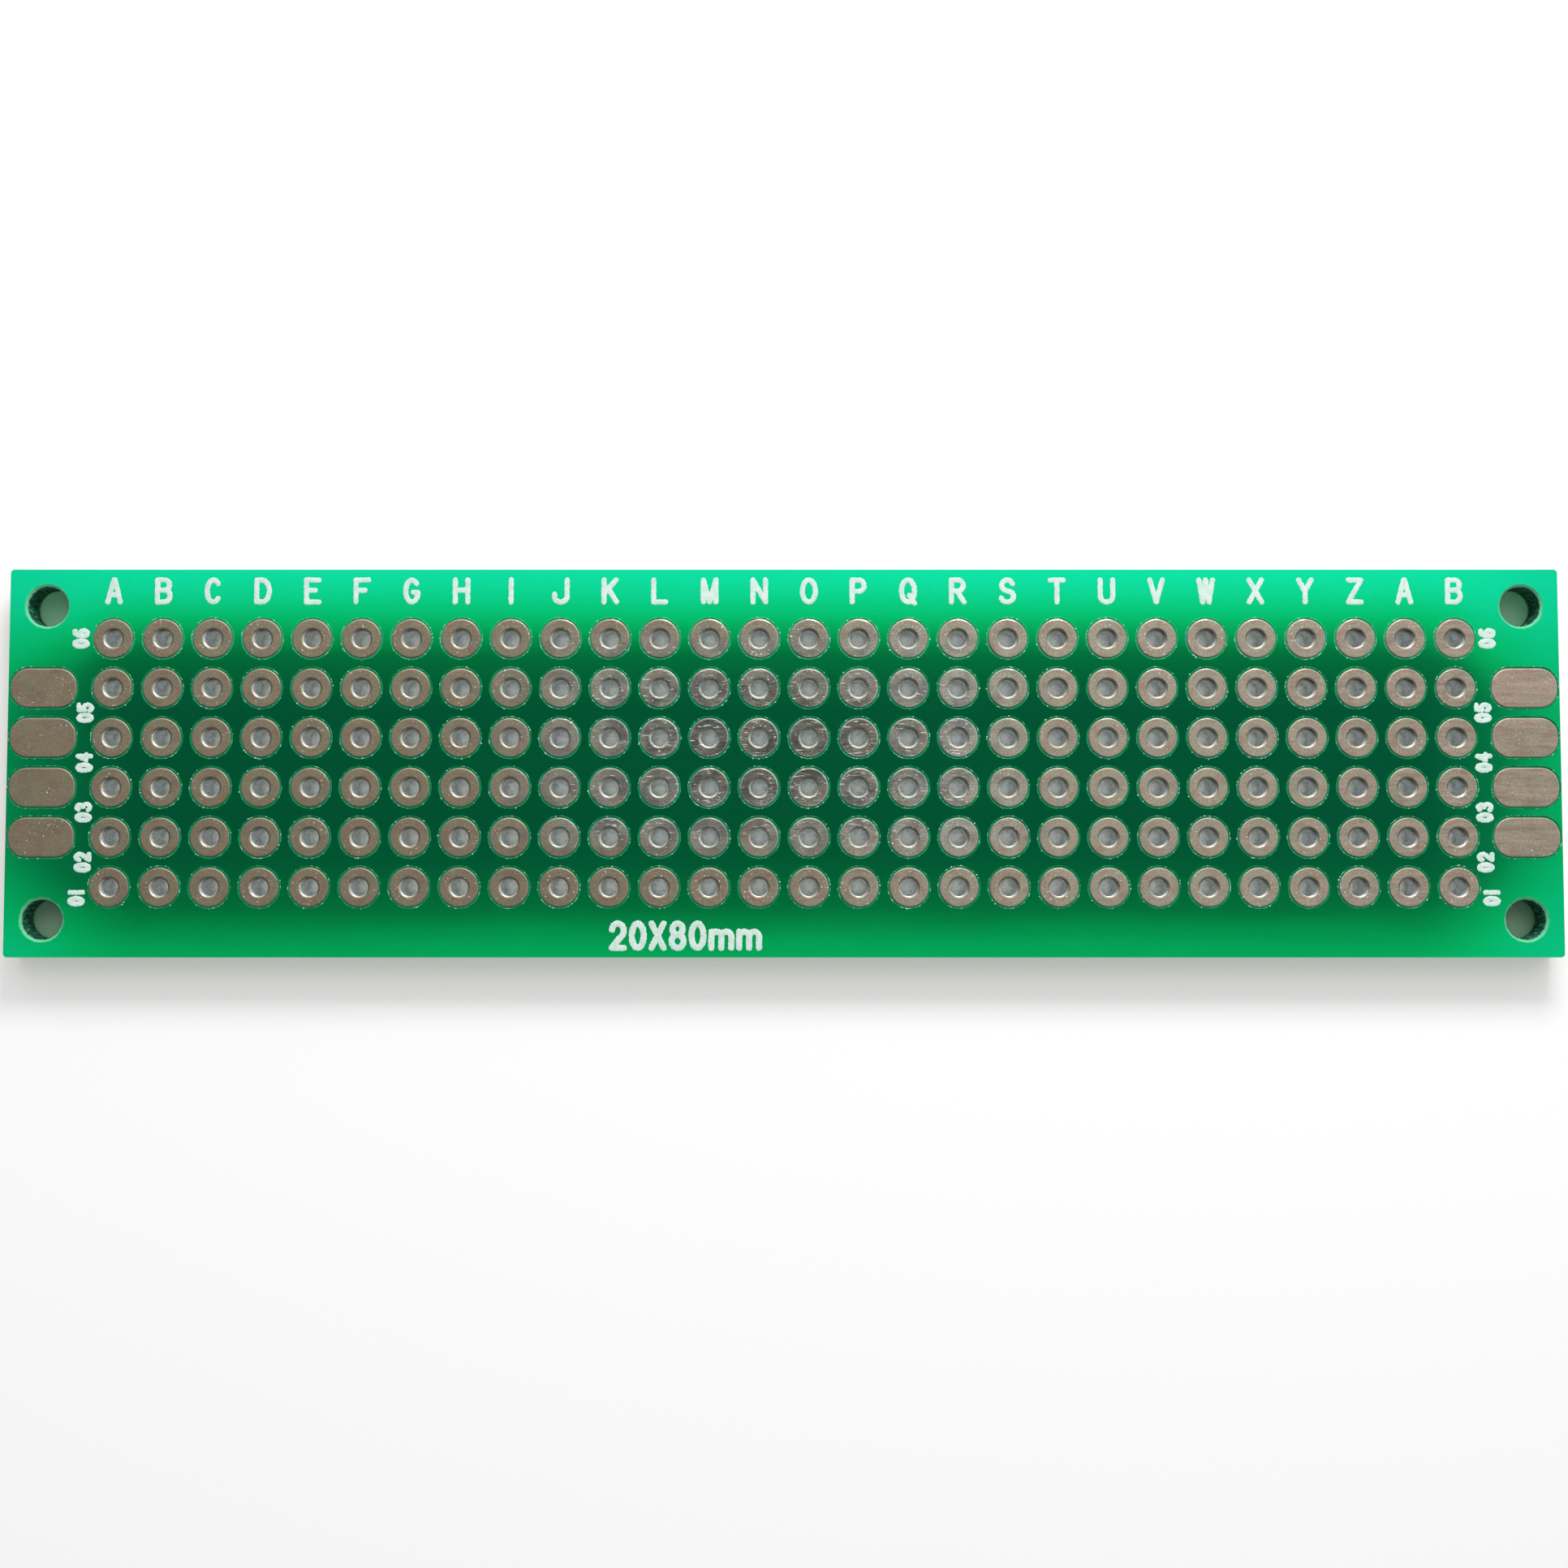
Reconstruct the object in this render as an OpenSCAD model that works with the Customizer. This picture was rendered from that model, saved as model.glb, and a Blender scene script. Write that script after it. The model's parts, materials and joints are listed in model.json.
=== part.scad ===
// Double-sided prototype board: a drilled glass-fibre substrate with a grid of plated holes,
// a solder mask on each face, connector pads at both ends and four mounting holes.
// The origin lies at the centre of the footprint, on the plane of the lower pads.
// X runs along the board, Y across it and Z out of the component side.

/* [Board] */
// Length of the board along X
board_l = 79.2; // [40:0.1:120]
// Width of the board along Y
board_w = 19.8; // [14:0.1:38]
// Thickness of the bare glass-fibre substrate
substrate_t = 1.5; // [0.8:0.1:3]
// Radius of the board's corners
corner_r = 0.2; // [0.05:0.05:0.8]

/* [Hole grid] */
// Distance between neighbouring holes, both ways
pitch = 2.54; // [2.5:0.01:5.08]
// Least distance from an end of the board to the first column of holes
end_band = 4.8; // [4.7:0.1:10]
// Least distance from a long edge of the board to the first row of holes
side_band = 3; // [2.6:0.1:4]
// Finished diameter of a lead hole
lead_hole_d = 0.9; // [0.6:0.05:1.3]
// Thickness of the metal on a hole's wall
plating_t = 0.05; // [0.02:0.01:0.08]
// Diameter of the round pad at each end of a hole
pad_d = 2; // [1.85:0.05:2.2]
// Width of a lead hole's rounded mouth, outwards from the hole's wall
mouth_w = 0.1; // [0.04:0.01:0.12]
// Depth of a lead hole's rounded mouth
mouth_h = 0.08; // [0.02:0.01:0.1]

/* [Pads] */
// Height of a pad above the substrate, copper and tin together
pad_t = 0.05; // [0.04:0.01:0.12]
// Width of the rounded shoulder round a pad
shoulder_w = 0.08; // [0.02:0.01:0.12]
// Height of the rounded shoulder round a pad
shoulder_h = 0.03; // [0.01:0.005:0.03]
// Length of a connector pad along X
edge_pad_l = 3.35; // [2:0.05:3.4]
// Width of a connector pad along Y
edge_pad_w = 2; // [1.9:0.1:2.2]
// Corner radius of a connector pad's outline
edge_pad_corner_r = 0.9; // [0.2:0.05:0.95]
// Substrate left between the board's end and a connector pad
edge_pad_inset = 0.13; // [0.1:0.01:0.2]

/* [Mounting holes] */
// Diameter of a mounting hole
mount_hole_d = 2; // [1.5:0.1:2.4]
// Width of the broken edge round a mounting hole's rim
mount_rim = 0.15; // [0.05:0.01:0.25]
// Distance from a mounting hole's centre to the nearest end and long edge
mount_hole_inset = 1.9; // [1.6:0.1:2.2]

/* [Solder mask] */
// Thickness of the solder mask
mask_t = 0.03; // [0.01:0.005:0.03]
// Bare ring between a round pad and the mask
mask_gap = 0.07; // [0.02:0.01:0.12]
// Bare line between a connector pad and the mask
edge_mask_gap = 0.07; // [0.02:0.01:0.08]

/* [Hidden] */
$fn = 48;
arc_steps = 3;

board_t = substrate_t + 2 * pad_t;
substrate_top = pad_t + substrate_t;
mask_outer_bottom = pad_t - mask_t;
mask_outer_top = substrate_top + mask_t;
overshoot = 0.1;

columns = floor((board_l - 2 * end_band) / pitch) + 1;
rows = floor((board_w - 2 * side_band) / pitch) + 1;
edge_rows = [2 : rows - 1];

lead_hole_r = lead_hole_d / 2;
drill_r = lead_hole_r + plating_t;
pad_r = pad_d / 2;
mount_hole_r = mount_hole_d / 2;

hole_names = [for (row = [1 : rows]) str("plated_holes_row_", row)];
edge_pad_names = [
    for (side = ["left", "right"], row = edge_rows, face = ["top", "bottom"])
        edge_pad_name(side, row, face)
];

function edge_pad_name(side, row, face) = str("edge_pad_", side, "_row_", row, "_", face);

function column_x(column) = (column - (columns + 1) / 2) * pitch;

function row_y(row) = (row - (rows + 1) / 2) * pitch;

function edge_pad_x(side) = (side == "left" ? -1 : 1) * (board_l / 2 - edge_pad_inset - edge_pad_l / 2);

// Points on a quarter oval of the given half width and half height, from angle a0 to angle a1
function arc(x, z, w, h, a0, a1) = [
    for (i = [0 : arc_steps])
        let (a = a0 + (a1 - a0) * i / arc_steps)
            [x + w * cos(a), z + h * sin(a)]
];

// Filled outline with round corners, centred on the origin
module rounded_outline(l, w, r) {
    square([l - 2 * r, w], center = true);
    square([l, w - 2 * r], center = true);
    for (x = [r - l / 2, l / 2 - r], y = [r - w / 2, w / 2 - r])
        translate([x, y])
            circle(r);
}

module at_lead_holes() {
    for (column = [1 : columns], row = [1 : rows])
        translate([column_x(column), row_y(row)])
            children();
}

module at_mount_holes() {
    for (x = [-1, 1], y = [-1, 1])
        translate([x * (board_l / 2 - mount_hole_inset), y * (board_w / 2 - mount_hole_inset), 0])
            children();
}

// Cutter for one mounting hole: a straight bore, and a cone that breaks the rim at each outer face
module mount_hole_cutter() {
    cone_h = mount_rim + overshoot;
    cylinder(h = board_t, r = mount_hole_r);
    translate([0, 0, mask_outer_top - mount_rim])
        cylinder(h = cone_h, r1 = mount_hole_r, r2 = mount_hole_r + cone_h);
    translate([0, 0, mask_outer_bottom - overshoot])
        cylinder(h = cone_h, r1 = mount_hole_r + cone_h, r2 = mount_hole_r);
}

module substrate() {
    color([0.62, 0.65, 0.36])
        difference() {
            translate([0, 0, pad_t])
                linear_extrude(substrate_t)
                    difference() {
                        rounded_outline(board_l, board_w, corner_r);
                        at_lead_holes()
                            circle(drill_r);
                    }
            at_mount_holes()
                mount_hole_cutter();
        }
}

// One lacquer film with its lower face at the given height, open round every pad and mounting hole
module solder_mask(z) {
    color([0, 0.52, 0.28])
        difference() {
            translate([0, 0, z])
                linear_extrude(mask_t)
                    difference() {
                        rounded_outline(board_l, board_w, corner_r);
                        at_lead_holes()
                            circle(pad_r + mask_gap);
                        for (side = ["left", "right"], row = edge_rows)
                            translate([edge_pad_x(side), row_y(row)])
                                rounded_outline(
                                    edge_pad_l + 2 * edge_mask_gap,
                                    edge_pad_w + 2 * edge_mask_gap,
                                    edge_pad_corner_r + edge_mask_gap
                                );
                    }
            at_mount_holes()
                mount_hole_cutter();
        }
}

module solder_mask_top() {
    solder_mask(substrate_top);
}

module solder_mask_bottom() {
    solder_mask(mask_outer_bottom);
}

// Half section of a plated hole, counter-clockwise from the lower end of its bore:
// lower mouth, lower pad, the barrel's back against the drilled wall, upper pad, upper mouth
plated_hole_section = concat(
    arc(lead_hole_r + mouth_w, mouth_h, mouth_w, mouth_h, 180, 270),
    arc(pad_r - shoulder_w, shoulder_h, shoulder_w, shoulder_h, 270, 360),
    [[pad_r, pad_t], [drill_r, pad_t], [drill_r, substrate_top], [pad_r, substrate_top]],
    arc(pad_r - shoulder_w, board_t - shoulder_h, shoulder_w, shoulder_h, 0, 90),
    arc(lead_hole_r + mouth_w, board_t - mouth_h, mouth_w, mouth_h, 90, 180)
);

module plated_hole() {
    rotate_extrude()
        polygon(plated_hole_section);
}

module plated_holes(row) {
    color([0.68, 0.64, 0.56])
        for (column = [1 : columns])
            translate([column_x(column), row_y(row), 0])
                plated_hole();
}

// Cross-section of a connector pad of the given width, flat below, with rounded shoulders above
function edge_pad_section(w) = concat(
    [[-w / 2, 0], [w / 2, 0]],
    arc(w / 2 - shoulder_w, pad_t - shoulder_h, shoulder_w, shoulder_h, 0, 90),
    arc(shoulder_w - w / 2, pad_t - shoulder_h, shoulder_w, shoulder_h, 90, 180)
);

// Right half of the same section, which turns into a pad's round corner
function edge_pad_corner_section(r) = concat(
    [[0, 0], [r, 0]],
    arc(r - shoulder_w, pad_t - shoulder_h, shoulder_w, shoulder_h, 0, 90),
    [[0, pad_t]]
);

// Connector pad standing on z = 0: two crossed bars and a turned corner in each angle
module edge_pad_body() {
    straight_l = edge_pad_l - 2 * edge_pad_corner_r;
    straight_w = edge_pad_w - 2 * edge_pad_corner_r;
    rotate([90, 0, 90])
        linear_extrude(straight_l, center = true)
            polygon(edge_pad_section(edge_pad_w));
    rotate([90, 0, 0])
        linear_extrude(straight_w, center = true)
            polygon(edge_pad_section(edge_pad_l));
    for (x = [-straight_l / 2, straight_l / 2], y = [-straight_w / 2, straight_w / 2])
        translate([x, y, 0])
            rotate_extrude()
                polygon(edge_pad_corner_section(edge_pad_corner_r));
}

module edge_pad(side, row, face) {
    color([0.68, 0.64, 0.56])
        translate([edge_pad_x(side), row_y(row), face == "top" ? substrate_top : pad_t])
            mirror([0, 0, face == "top" ? 0 : 1])
                edge_pad_body();
}

substrate();
solder_mask_top();
solder_mask_bottom();
for (row = [1 : rows])
    plated_holes(row);
for (side = ["left", "right"], row = edge_rows, face = ["top", "bottom"])
    edge_pad(side, row, face);
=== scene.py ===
"""Finishes for a bare double-sided prototype board, and the plain studio stage it lies on."""

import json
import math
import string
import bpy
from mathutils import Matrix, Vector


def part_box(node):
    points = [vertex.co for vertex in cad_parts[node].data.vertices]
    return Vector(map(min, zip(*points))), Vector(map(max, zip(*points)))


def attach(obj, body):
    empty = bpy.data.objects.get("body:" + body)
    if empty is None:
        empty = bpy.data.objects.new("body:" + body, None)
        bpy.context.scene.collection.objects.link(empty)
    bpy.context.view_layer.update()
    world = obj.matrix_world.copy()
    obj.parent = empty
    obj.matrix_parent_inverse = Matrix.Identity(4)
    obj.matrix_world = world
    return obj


bl_info = {
    "name": "Prototype Board Finishes",
    "version": (1, 0, 0),
    "blender": (4, 5, 0),
    "location": "3D View > Sidebar > Board",
    "description": "Lacquer, tinned metal, glass fibre, printed legend and stage for a bare circuit board",
    "category": "Object",
}

import bpy
import numpy as np
from bpy.props import FloatProperty, FloatVectorProperty, IntProperty, PointerProperty
from mathutils import Vector

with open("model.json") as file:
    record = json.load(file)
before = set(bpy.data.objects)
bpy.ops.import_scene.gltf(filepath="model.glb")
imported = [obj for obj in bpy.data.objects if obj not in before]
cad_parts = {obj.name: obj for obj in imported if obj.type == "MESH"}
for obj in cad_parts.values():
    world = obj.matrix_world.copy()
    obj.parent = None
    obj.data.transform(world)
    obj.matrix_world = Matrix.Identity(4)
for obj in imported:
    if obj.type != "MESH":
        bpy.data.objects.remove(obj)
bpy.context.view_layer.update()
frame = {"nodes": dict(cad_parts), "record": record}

MM = 0.001
BODY = "root"
MOUNTS = {mount["name"]: mount for mount in frame["record"]["mounts"]}

# The hole grid and the board's own sizes, in millimetres, as the frame has them
FIRST_HOLE = Vector(MOUNTS["lead_hole_first"]["pos_m"]) / MM
LAST_HOLE = Vector(MOUNTS["lead_hole_last"]["pos_m"]) / MM
PITCH = MOUNTS["lead_hole_grid"]["dims"]["spacing_x_mm"]
LEAD_HOLE_R = MOUNTS["lead_hole_grid"]["dims"]["hole_r_mm"]
COLUMNS = round((LAST_HOLE.x - FIRST_HOLE.x) / PITCH) + 1
ROWS = round((LAST_HOLE.y - FIRST_HOLE.y) / PITCH) + 1
MOUNT_HOLE = Vector(MOUNTS["mounting_hole_right_upper"]["pos_m"]) / MM
MOUNT_HOLE_R = MOUNTS["mounting_hole_right_upper"]["dims"]["r_mm"]


def node_box(name):
    """Lowest and highest corner of a CAD node, in millimetres."""
    low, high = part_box(name)
    return low / MM, high / MM


BOARD_LOW, BOARD_HIGH = node_box("substrate")
HALF_L = BOARD_HIGH.x
HALF_W = BOARD_HIGH.y
MASK_TOP = node_box("solder_mask_top")[1].z
MASK_BOTTOM = node_box("solder_mask_bottom")[0].z
BOARD_T = node_box("plated_holes_row_1")[1].z
PAD_R = node_box("plated_holes_row_1")[1].y - FIRST_HOLE.y
EDGE_PAD_LOW, EDGE_PAD_HIGH = node_box("edge_pad_right_row_2_top")
EDGE_PAD_ROWS = ROWS - 2

# Corner radius of a connector pad's outline, which the frame doesn't state
EDGE_PAD_CORNER_R = 0.9


def srgb(*channels):
    """A colour picked from a 0 to 255 chart, as the linear values that shaders use."""
    shares = [channel / 255 for channel in channels]
    return [s / 12.92 if s <= 0.04045 else ((s + 0.055) / 1.055) ** 2.4 for s in shares]


# ---------------------------------------------------------------- settings


def colour(name, description, *channels):
    return FloatVectorProperty(
        name=name, description=description, default=srgb(*channels),
        min=0, max=1, size=3, subtype="COLOR",
    )


def length(name, description, millimetres, most=200):
    return FloatProperty(
        name=name, description=description, default=millimetres * MM,
        min=0, max=most * MM, unit="LENGTH", subtype="DISTANCE",
    )


def amount(name, description, default, most=1.0):
    return FloatProperty(name=name, description=description, default=default, min=0, max=most)


class LacquerSettings(bpy.types.PropertyGroup):
    # Painted light: deep, middle, lit, sea and glow are the levels of a painted glow, darkest over the pad
    # field and brighter and cooler towards the board's edges
    deep: colour("Deep green", "Lacquer over the pad field, where no light comes through", 2, 76, 47)
    middle: colour("Middle green", "Lacquer where a little light comes through", 3, 116, 58)
    lit: colour("Lit green", "Lacquer over the bare margins", 4, 186, 100)
    sea: colour("Sea green", "Cooler lacquer towards the two ends", 4, 150, 106)
    glow: colour("Glow", "Lacquer at the brightest long edge", 16, 226, 166)
    edge: colour("Lip", "Thin lacquer at the rim of an opening", 24, 148, 98)
    nib: colour("Nib", "Dried drops of lacquer on the rim of an opening", 190, 236, 212)
    roughness: amount("Roughness", "How matt the lacquer is", 0.22)
    opening_gap: length("Opening gap", "Bare ring between a pad and the lacquer", 0.07)
    lip_w: length("Lip width", "Width of the raised lacquer round an opening", 0.044)
    lip_h: length("Lip height", "Height of the raised lacquer round an opening", 0.012)
    nibs: IntProperty(
        name="Nibs", description="Dried drops of lacquer round the openings of one face",
        default=760, min=0, max=5000,
    )
    seed: IntProperty(name="Seed", description="Picks where the nibs lie", default=7, min=0)


class TinSettings(bpy.types.PropertyGroup):
    # Painted reflection: warm, grey and pale stand in for what the pads mirror at the left end, over the
    # middle columns and at the right end
    warm: colour("Warm tin", "Tin towards the left end", 205, 191, 160)
    grey: colour("Grey tin", "Tin on the middle columns", 222, 224, 208)
    pale: colour("Pale tin", "Tin towards the right end", 214, 204, 180)
    blush: colour("Blush", "Copper showing through thin tin", 196, 150, 128)
    slate: colour("Slate", "Duller tin in clouds", 118, 128, 128)
    grime: colour("Grime", "Dark grain and brush marks", 123, 115, 102)
    smear: colour("Smear", "Wiped tin towards the right end", 240, 212, 194)
    bore: colour("Bore", "Tin inside a hole", 232, 236, 236)
    # Painted shade: the bore mouth colour darkens the side of a bore that faces away from the light
    bore_painted_shade: colour("Bore mouth", "Tin just below a hole's shaded rim", 70, 68, 62)
    # Painted highlight: glint is the near-white that the specks are painted with, and the fresh metal in
    # scratches
    glint: colour("Glint", "Fresh metal in a scratch or a lump", 250, 250, 244)
    roughness: amount("Roughness", "How matt the tin is", 0.18)
    grain: amount("Grain", "Depth of the fine lumps in the tin", 0.6)


class LaminateSettings(bpy.types.PropertyGroup):
    resin: colour("Resin", "Glass-fibre laminate at the routed edge", 168, 174, 120)
    fibre: colour("Fibre", "Cut glass bundles in the routed edge", 206, 208, 172)
    speck: colour("Speck", "Dark specks in the routed edge", 118, 130, 66)
    # Painted shade: the drilled wall colour is dark, as deep in a hole's shade
    shade: colour("Drilled wall", "Laminate inside a drilled hole", 6, 66, 50)
    streak: colour("Wall streak", "Torn fibres inside a drilled hole", 66, 172, 138)
    face: colour("Face", "Laminate in the bare ring between a pad and the lacquer", 16, 140, 94)
    # The broken rim colour also paints a highlight line near the lower face and the bare ring's paler tone
    # towards the lettered edge
    rim: colour("Broken rim", "Crushed laminate and lacquer at a hole's rim", 118, 212, 160)
    plies: IntProperty(name="Plies", description="Layers of glass cloth", default=7, min=1, max=20)


class LegendSettings(bpy.types.PropertyGroup):
    ink: colour("Ink", "Silk-screened legend", 226, 242, 236)
    thin: colour("Thin ink", "Ink that lets the lacquer show through", 182, 220, 204)
    ink_t: length("Ink thickness", "Height of the ink above the lacquer", 0.016)
    letter_w: length("Letter width", "Width of a column letter", 0.9)
    letter_h: length("Letter height", "Height of a column letter", 1.39)
    letter_stroke: length("Letter stroke", "Width of a column letter's strokes", 0.255)
    letter_line: length("Letter line", "Distance of the letters from the board's middle line", 8.79)
    digit_w: length("Digit width", "Width of a row number's digits", 0.53)
    digit_h: length("Digit height", "Height of a row number's digits", 0.9)
    digit_stroke: length("Digit stroke", "Width of a row number's strokes", 0.24)
    size_h: length("Size mark height", "Height of the capitals in the size mark", 1.54)
    size_stroke: length("Size mark stroke", "Width of the size mark's strokes", 0.31)
    ragged: length("Ragged edge", "How far the screen's mesh frays the ink's edge", 0.022)


class StageSettings(bpy.types.PropertyGroup):
    camera_h: length("Camera height", "Height of the lens above the board", 83, 1000)
    camera_back: length("Camera set-back", "Distance of the lens behind the board's middle", 4.8)
    fill: amount("Frame fill", "Share of the view's width that the board fills", 0.992)
    overhead: amount("Overhead", "Strength of the dim light straight above", 0.352, 10)
    sides: amount("Sides", "Strength of the soft light from the sides", 1.05, 10)
    horizon: amount("Horizon", "Strength of the even light near the horizon", 0.85, 10)
    window: amount("Window", "Strength of the soft light beyond the lettered edge", 1.0, 10)
    key: FloatProperty(
        name="Key light", description="Power of the soft lamp beyond the lettered edge",
        default=0.179, min=0, max=100, unit="POWER",
    )
    floor: colour("Floor", "Colour of the table", 244, 244, 244)
    glow: colour("Glow", "Faint glow that keeps the table white", 118, 118, 118)
    # The bore, hole and shadow colours below are painted light and shade on the table beneath the board
    bore_glow: colour("Bore glow", "Glow of the table seen through the middle of a lead hole", 137, 132, 136)
    bore_edge: colour("Bore edge", "The same glow towards the hole's wall", 86, 80, 86)
    hole_glow: colour("Hole glow", "Glow of the table seen through a mounting hole", 24, 74, 50)
    shadow: colour("Shadow", "Colour of the table beneath the board", 176, 214, 184)


# ---------------------------------------------------------------- node trees


class Value:
    """A socket in a node tree. Python's operators on it add Math nodes."""

    def __init__(self, tree, socket):
        self.tree = tree
        self.socket = socket

    def math(self, operation, *others):
        sockets = dict(enumerate((self, *others)))
        return self.tree.add("ShaderNodeMath", {"operation": operation}, sockets)

    def reflected(self, operation, other):
        return self.tree.add("ShaderNodeMath", {"operation": operation}, {0: other, 1: self})

    def __add__(self, other):
        return self.math("ADD", other)

    def __sub__(self, other):
        return self.math("SUBTRACT", other)

    def __rsub__(self, other):
        return self.reflected("SUBTRACT", other)

    def __mul__(self, other):
        return self.math("MULTIPLY", other)

    def __truediv__(self, other):
        return self.math("DIVIDE", other)

    def __rtruediv__(self, other):
        return self.reflected("DIVIDE", other)

    def __neg__(self):
        return self * -1

    def __abs__(self):
        return self.math("ABSOLUTE")

    def __lt__(self, other):
        return self.math("LESS_THAN", other)

    def __gt__(self, other):
        return self.math("GREATER_THAN", other)

    __radd__ = __add__
    __rmul__ = __mul__

    def clamped(self):
        return self.math("MINIMUM", 1).math("MAXIMUM", 0)

    def step(self, low, high):
        """0 below low, 1 above high, smooth between. The other way round if low is above high."""
        return self.tree.add(
            "ShaderNodeMapRange",
            {"interpolation_type": "SMOOTHSTEP"},
            {"Value": self, "From Min": low, "From Max": high},
        )


class Tree:
    """Adds nodes to a shader or geometry tree."""

    def __init__(self, nodes):
        self.nodes = nodes.nodes
        self.links = nodes.links

    def add(self, kind, settings=None, sockets=None, output=None):
        """Adds a node, sets it, fills its sockets and returns one of its outputs.

        A socket takes a plain value, a link, or a list of links.
        """
        node = self.nodes.new(kind)
        for name, value in (settings or {}).items():
            setattr(node, name, value)
        for key, value in (sockets or {}).items():
            for source in value if isinstance(value, list) else [value]:
                if isinstance(source, Value):
                    self.links.new(source.socket, node.inputs[key])
                else:
                    node.inputs[key].default_value = source
        if not node.outputs:
            return node
        if output is None:
            output = next(i for i, socket in enumerate(node.outputs) if socket.enabled)
        return Value(self, node.outputs[output])

    def mix(self, factor, low, high):
        """The colour low where factor is 0, high where it is 1."""
        return self.add(
            "ShaderNodeMix",
            {"data_type": "RGBA"},
            {0: factor, 6: rgba(low), 7: rgba(high)},
        )

    def noise(self, place, scale, stretch=(1, 1, 1), detail=2.0, roughness=0.5, shift=0.0):
        """Noise from 0 to 1 with about scale lumps a millimetre, stretched along the axes."""
        moved = self.add(
            "ShaderNodeVectorMath", {"operation": "MULTIPLY_ADD"},
            {0: place, 1: stretch, 2: (shift, shift, shift)},
        )
        return self.add(
            "ShaderNodeTexNoise", {},
            {"Vector": moved, "Scale": scale, "Detail": detail, "Roughness": roughness},
            "Fac",
        )


def rgba(shade):
    """A plain colour with its alpha, or a link as it is."""
    return shade if isinstance(shade, Value) else (*shade, 1)


class Finish(Tree):
    """One material: its Principled shader, and the place on the board that its patterns read."""

    def __init__(self, name, **constants):
        self.material = bpy.data.materials.new(name)
        self.material.use_nodes = True
        super().__init__(self.material.node_tree)
        self.shader = self.nodes["Principled BSDF"]
        for socket, value in constants.items():
            self.shader.inputs[socket.replace("_", " ")].default_value = value
        metres = self.add("ShaderNodeTexCoord", output="Object")
        self.place = self.add(
            "ShaderNodeVectorMath", {"operation": "SCALE"}, {0: metres, "Scale": 1 / MM}
        )
        self.x, self.y, self.z = (self.axis(name) for name in "XYZ")

    def axis(self, name):
        return self.add("ShaderNodeSeparateXYZ", {}, {0: self.place}, name)

    def drive(self, socket, value):
        self.links.new(value.socket, self.shader.inputs[socket])

    def bump(self, height, strength, depth):
        """Lumps of the given depth in millimetres at full strength."""
        normal = self.add(
            "ShaderNodeBump", {},
            {"Height": height, "Strength": strength, "Distance": depth * MM},
        )
        self.drive("Normal", normal)

    def lead_hole_offset(self):
        """Offsets along X and Y from the nearest lead hole's axis, and 1 inside the hole grid."""
        dx, dy = (
            ((place - first) / PITCH + 0.5).math("FRACT") * PITCH - PITCH / 2
            for place, first in ((self.x, FIRST_HOLE.x), (self.y, FIRST_HOLE.y))
        )
        inside = (abs(self.x) < COLUMNS * PITCH / 2) * (abs(self.y) < ROWS * PITCH / 2)
        return dx, dy, inside

    def mount_hole_distance(self):
        """Distance to the axis of the nearest mounting hole."""
        return distance(abs(self.x) - MOUNT_HOLE.x, abs(self.y) - MOUNT_HOLE.y)


def distance(dx, dy):
    return (dx * dx + dy * dy).math("SQRT")


def paint(piece, finish):
    """Gives every face of the piece one material."""
    for slot in piece.material_slots:
        slot.material = finish.material
    if not piece.material_slots:
        piece.data.materials.append(finish.material)


def settle(piece):
    """Rides a new piece on the board."""
    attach(piece, BODY)


# ---------------------------------------------------------------- finishes


# Green lacquer swallows the red part of what it mirrors
LACQUER_TINT = (0.06, 1.0, 0.62, 1.0)


def lacquer_finish(lacquer, laminate):
    """Glossy green lacquer over a translucent board, with a painted glow: brighter where no pads lie
    beneath, towards the board's edges.
    """
    m = Finish("solder_mask_lacquer", Specular_IOR_Level=0.12, Specular_Tint=LACQUER_TINT)
    # Painted light: how far the painted glow reaches in from each edge; past the outer columns it reaches
    # further
    margin = abs(m.x).step(34, 36.4) * 0.8
    top = ((m.y - 2 + margin) / (9.7 + margin)).step(0, 1)
    bottom = (-m.y).step(3, 11.3) * 0.57
    left = (-m.x).step(32.4, 42.4) * 0.46
    right = m.x.step(31.6, 41.2) * 0.58
    dark = (1 - top) * (1 - bottom) * (1 - left) * (1 - right)
    cloud = m.noise(m.place, 0.35, (0.5, 1, 1), detail=3) - 0.5
    streak = m.noise(m.place, 1.0, (0.12, 2.2, 1), detail=3, shift=4) - 0.5
    grain = m.noise(m.place, 11, detail=1) - 0.5
    glow = 1 - dark + cloud * 0.05 + streak * 0.04 + grain * 0.03
    # Painted glow: the colour climbs from deep to glow as the painted light rises, and turns cooler at the
    # two ends
    shade = m.mix(glow.step(-0.11, 0.48), lacquer.deep, lacquer.middle)
    shade = m.mix(glow.step(0.27, 0.65), shade, lacquer.lit)
    shade = m.mix(glow.step(0.5, 0.98), shade, lacquer.glow)
    shade = m.mix((left + right) * 0.5, shade, lacquer.sea)
    fine = m.noise(m.place, 15, detail=2, shift=6)
    shade = m.mix(fine.step(0.6, 0.3) * 0.06, shade, lacquer.deep)
    fray = m.noise(m.place, 3.4, detail=3, shift=9) * 0.14
    rim = (m.mount_hole_distance() + fray).step(MOUNT_HOLE_R + 0.24, MOUNT_HOLE_R + 0.2)
    shade = m.mix(rim * 0.6, shade, laminate.rim)
    m.drive("Base Color", shade)
    m.drive("Roughness", lacquer.roughness + grain * 0.12 + rim * 0.4)
    m.bump(m.noise(m.place, 1.6, detail=2, shift=2), 0.5, 0.012)
    return m


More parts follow.
